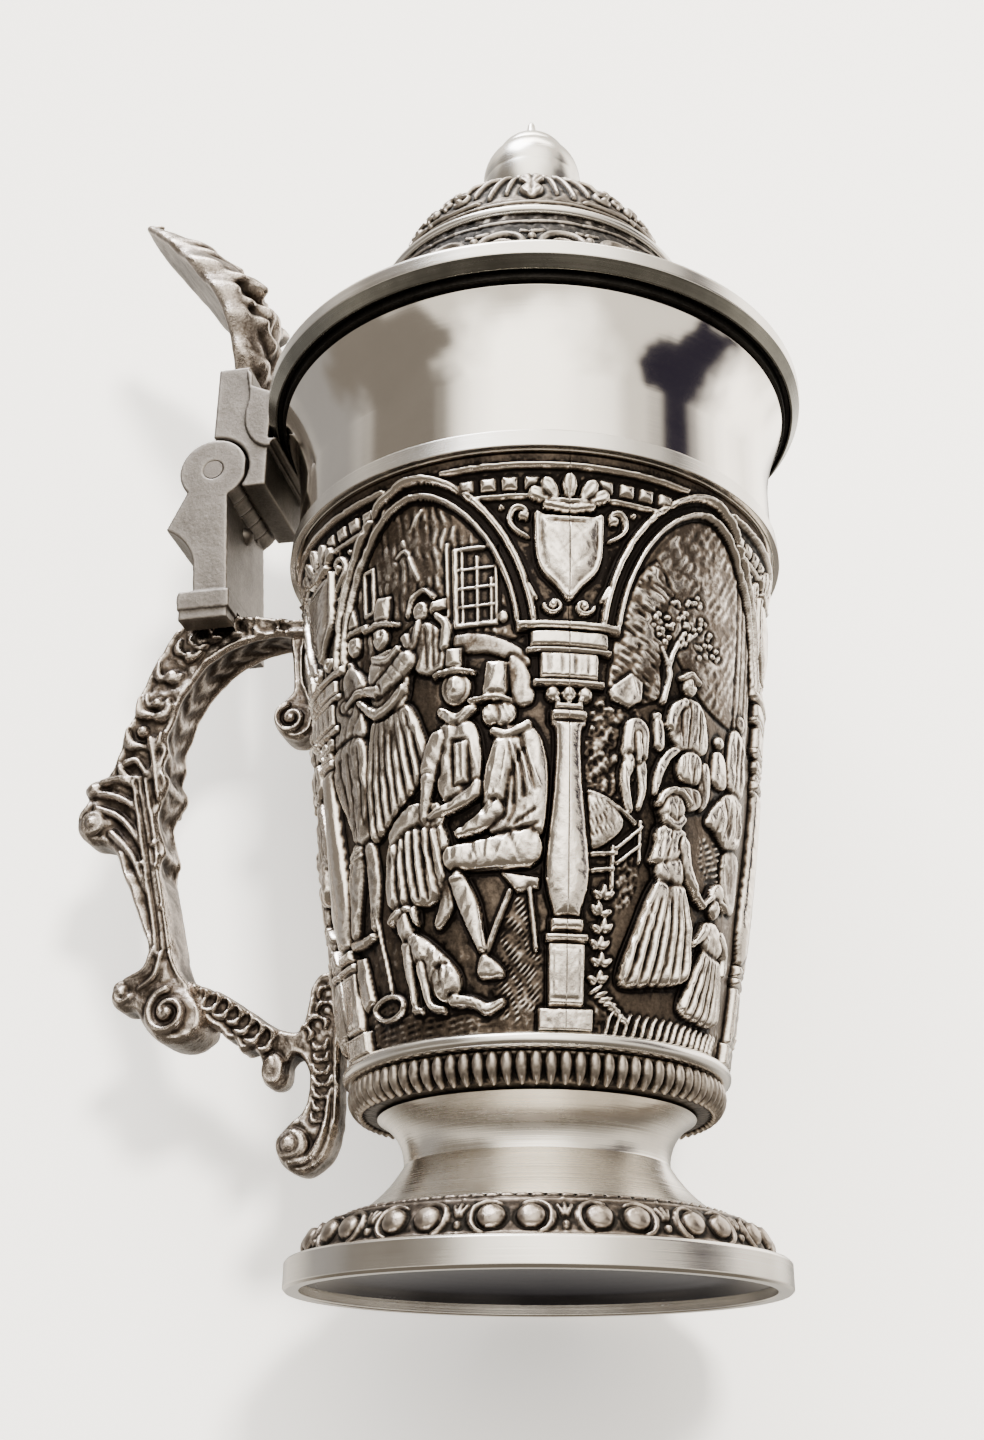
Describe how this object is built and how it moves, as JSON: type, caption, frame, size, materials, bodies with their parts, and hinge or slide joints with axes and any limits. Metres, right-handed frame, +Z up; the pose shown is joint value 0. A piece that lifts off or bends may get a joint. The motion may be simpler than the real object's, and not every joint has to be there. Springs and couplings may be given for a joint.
{
  "type": "beer stein",
  "caption": "Lidded pewter beer stein on a turned foot, with a relief-cast body, scroll handle and hinged domed lid with a leaf thumblift.",
  "frame": {"origin": "centre of the foot's flat underside, which the stein stands on", "axes": "+Z up along the cup's axis; the handle and the lid's hinge are on the -X side; the hinge axis is along Y"},
  "size_m": [0.1379, 0.1032, 0.241],
  "materials": {
    "polished_pewter": "polished and turned pewter",
    "antiqued_pewter": "cast relief, dark patina in the hollows and rubbed bright on the high places",
    "cast_pewter": "matte grey cast pewter, worn bright along the edges",
    "steel": "plain steel"
  },
  "bodies": {
    "vessel": {"foot_flange": "polished_pewter", "foot_closing_disc": "polished_pewter", "foot_ornament_ring": "antiqued_pewter", "foot_neck": "polished_pewter", "gadroon_band": "polished_pewter", "lower_bead_ring": "polished_pewter", "cup": "polished_pewter", "relief_sleeve": "antiqued_pewter", "shoulder_band": "polished_pewter", "hinge_pin": "steel", "hinge_pin_plugs": "cast_pewter", "stop_stud": "cast_pewter", "handle_bow": "cast_pewter", "handle_lower_bracket": "cast_pewter", "handle_upper_scroll": "cast_pewter", "hinge_post": "cast_pewter"},
    "lid": {"lid_flange": "polished_pewter", "lid_frieze": "antiqued_pewter", "lid_bead_ring": "polished_pewter", "lid_dome": "antiqued_pewter", "finial": "polished_pewter", "finial_screw": "steel", "lid_hinge_block": "cast_pewter", "thumblift": "cast_pewter"}
  },
  "joints": [
    {"name": "lid_hinge", "type": "hinge", "parent": "vessel", "child": "lid", "pos_m": [-0.0615, 0, 0.1525], "axis": [0, -1, 0], "range_deg": [0, 130]}
  ]
}
